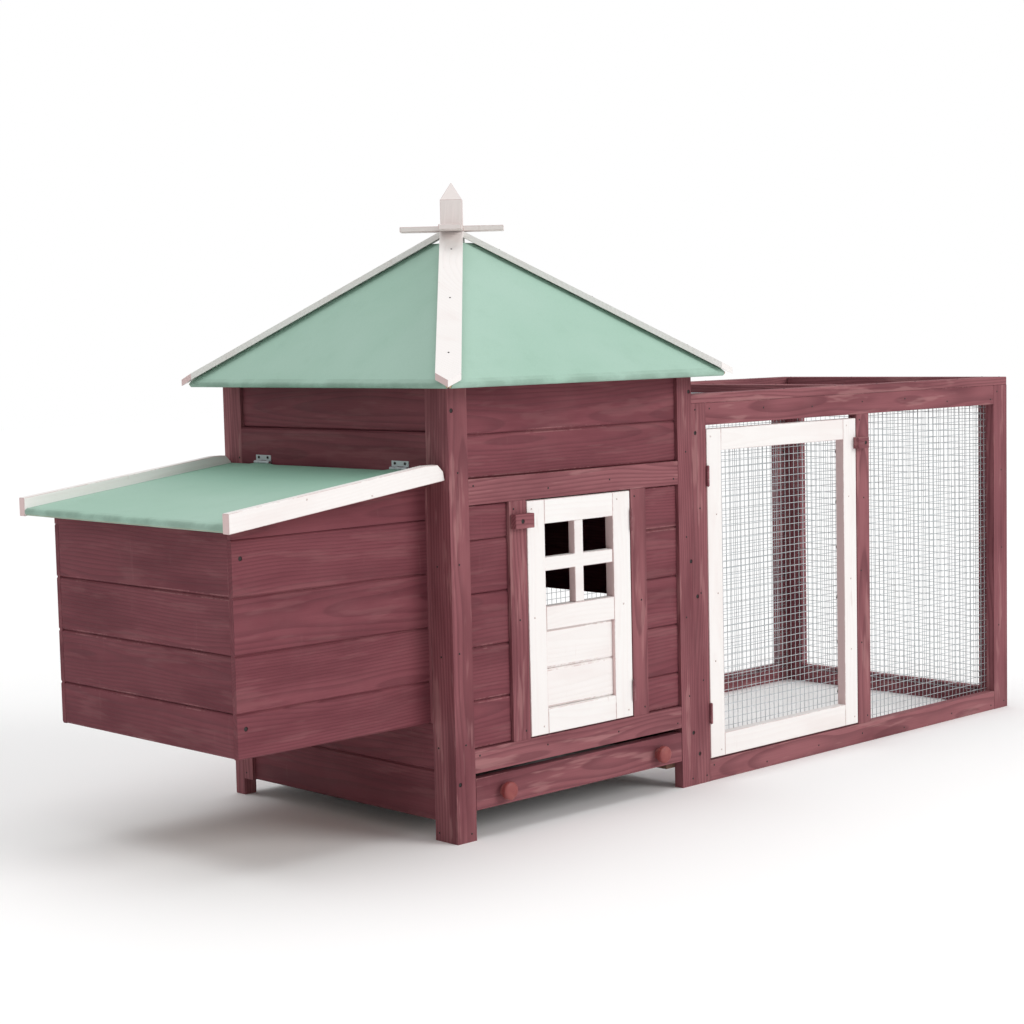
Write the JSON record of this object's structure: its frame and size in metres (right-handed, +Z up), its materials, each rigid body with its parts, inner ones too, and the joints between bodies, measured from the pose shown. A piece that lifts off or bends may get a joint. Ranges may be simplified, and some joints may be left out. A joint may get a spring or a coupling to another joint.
{
  "type": "chicken coop",
  "caption": "Raised timber hen house with a pyramid roof, lidded nest box, small door, pull-out tray and a wire mesh run with its own door.",
  "frame": {"origin": "on the ground under the middle of the whole coop", "axes": "+Z up, +X from the nest box towards the outer end of the run, +Y from the front with the doors to the rear"},
  "size_m": [1.935, 0.678, 1.04],
  "materials": {
    "stained_wood": "thin red-brown stain on sawn fir, grain showing",
    "knob_wood": "red stained turned wood",
    "raw_wood": "unpainted boards",
    "white_wood": "thin white paint",
    "roof_felt": "green mineral felt",
    "wire_mesh": "zinc coated welded mesh",
    "zinc_steel": "zinc coated"
  },
  "bodies": {
    "coop": {"front_stiles": "stained_wood", "front_rails": "stained_wood", "front_door_posts": "stained_wood", "front_boards": "stained_wood", "left_stiles": "stained_wood", "left_boards": "stained_wood", "nest_opening_jambs": "stained_wood", "nest_opening_rails": "stained_wood", "rear_posts": "stained_wood", "rear_boards": "stained_wood", "partition_stiles": "stained_wood", "partition_boards": "stained_wood", "pop_hole_battens": "stained_wood", "wall_plates": "stained_wood", "nest_side_boards": "stained_wood", "nest_outer_boards": "stained_wood", "nest_corner_battens": "stained_wood", "run_uprights": "stained_wood", "run_end_stiles": "stained_wood", "run_rails": "stained_wood", "run_roof_rails": "stained_wood", "run_roof_crossbars": "stained_wood", "run_fixing_battens": "stained_wood", "roof_boards_front_rear": "raw_wood", "roof_boards_sides": "raw_wood", "nest_floor": "raw_wood", "nest_divider": "raw_wood", "tray_runners": "raw_wood", "hip_trims": "white_wood", "king_post": "white_wood", "finial_slat_lower": "white_wood", "finial_slat_upper": "white_wood", "finial_cap": "white_wood", "roof_felt": "roof_felt", "run_front_mesh": "wire_mesh", "run_rear_mesh": "wire_mesh", "run_end_mesh": "wire_mesh", "run_roof_mesh": "wire_mesh", "door_post_hinge_leaves": "zinc_steel", "lid_wall_hinge_leaves": "zinc_steel", "hinge_pins": "zinc_steel", "wood_screws": "zinc_steel", "hinge_screws": "zinc_steel"},
    "nest_lid": {"lid_board": "raw_wood", "lid_felt": "roof_felt", "lid_trims": "white_wood", "lid_hinge_leaves": "zinc_steel"},
    "house_door": {"house_door_stiles": "white_wood", "house_door_rails": "white_wood", "house_door_window_bars": "white_wood", "house_door_boards": "white_wood", "house_door_hinge_leaves": "zinc_steel"},
    "run_door": {"run_door_stiles": "white_wood", "run_door_rails": "white_wood", "run_door_mesh": "wire_mesh", "run_door_hinge_leaves": "zinc_steel"},
    "tray": {"tray_front_board": "stained_wood", "tray_pan": "zinc_steel", "tray_knobs": "knob_wood"},
    "house_button": {"house_door_button": "stained_wood"},
    "run_button": {"run_door_button": "stained_wood"}
  },
  "joints": [
    {"name": "nest_lid_hinge", "type": "hinge", "parent": "coop", "child": "nest_lid", "pos_m": [-0.5641, 0, 0.579], "axis": [0, 1, 0], "range_deg": [0, 58]},
    {"name": "house_door_hinge", "type": "hinge", "parent": "coop", "child": "house_door", "pos_m": [-0.1575, -0.288, 0.333], "axis": [0, 0, 1], "range_deg": [0, 100]},
    {"name": "run_door_hinge", "type": "hinge", "parent": "coop", "child": "run_door", "pos_m": [0.0375, -0.288, 0.326], "axis": [0, 0, -1], "range_deg": [0, 95]},
    {"name": "tray_slide", "type": "slide", "parent": "coop", "child": "tray", "axis": [0, -1, 0], "range_m": [0, 0.45]},
    {"name": "house_button_turn", "type": "hinge", "parent": "coop", "child": "house_button", "pos_m": [-0.417, -0.291, 0.491], "axis": [0, 1, 0], "range_deg": [0, 90]},
    {"name": "run_button_turn", "type": "hinge", "parent": "coop", "child": "run_button", "pos_m": [0.4765, -0.291, 0.567], "axis": [0, 1, 0], "range_deg": [0, 90]}
  ]
}
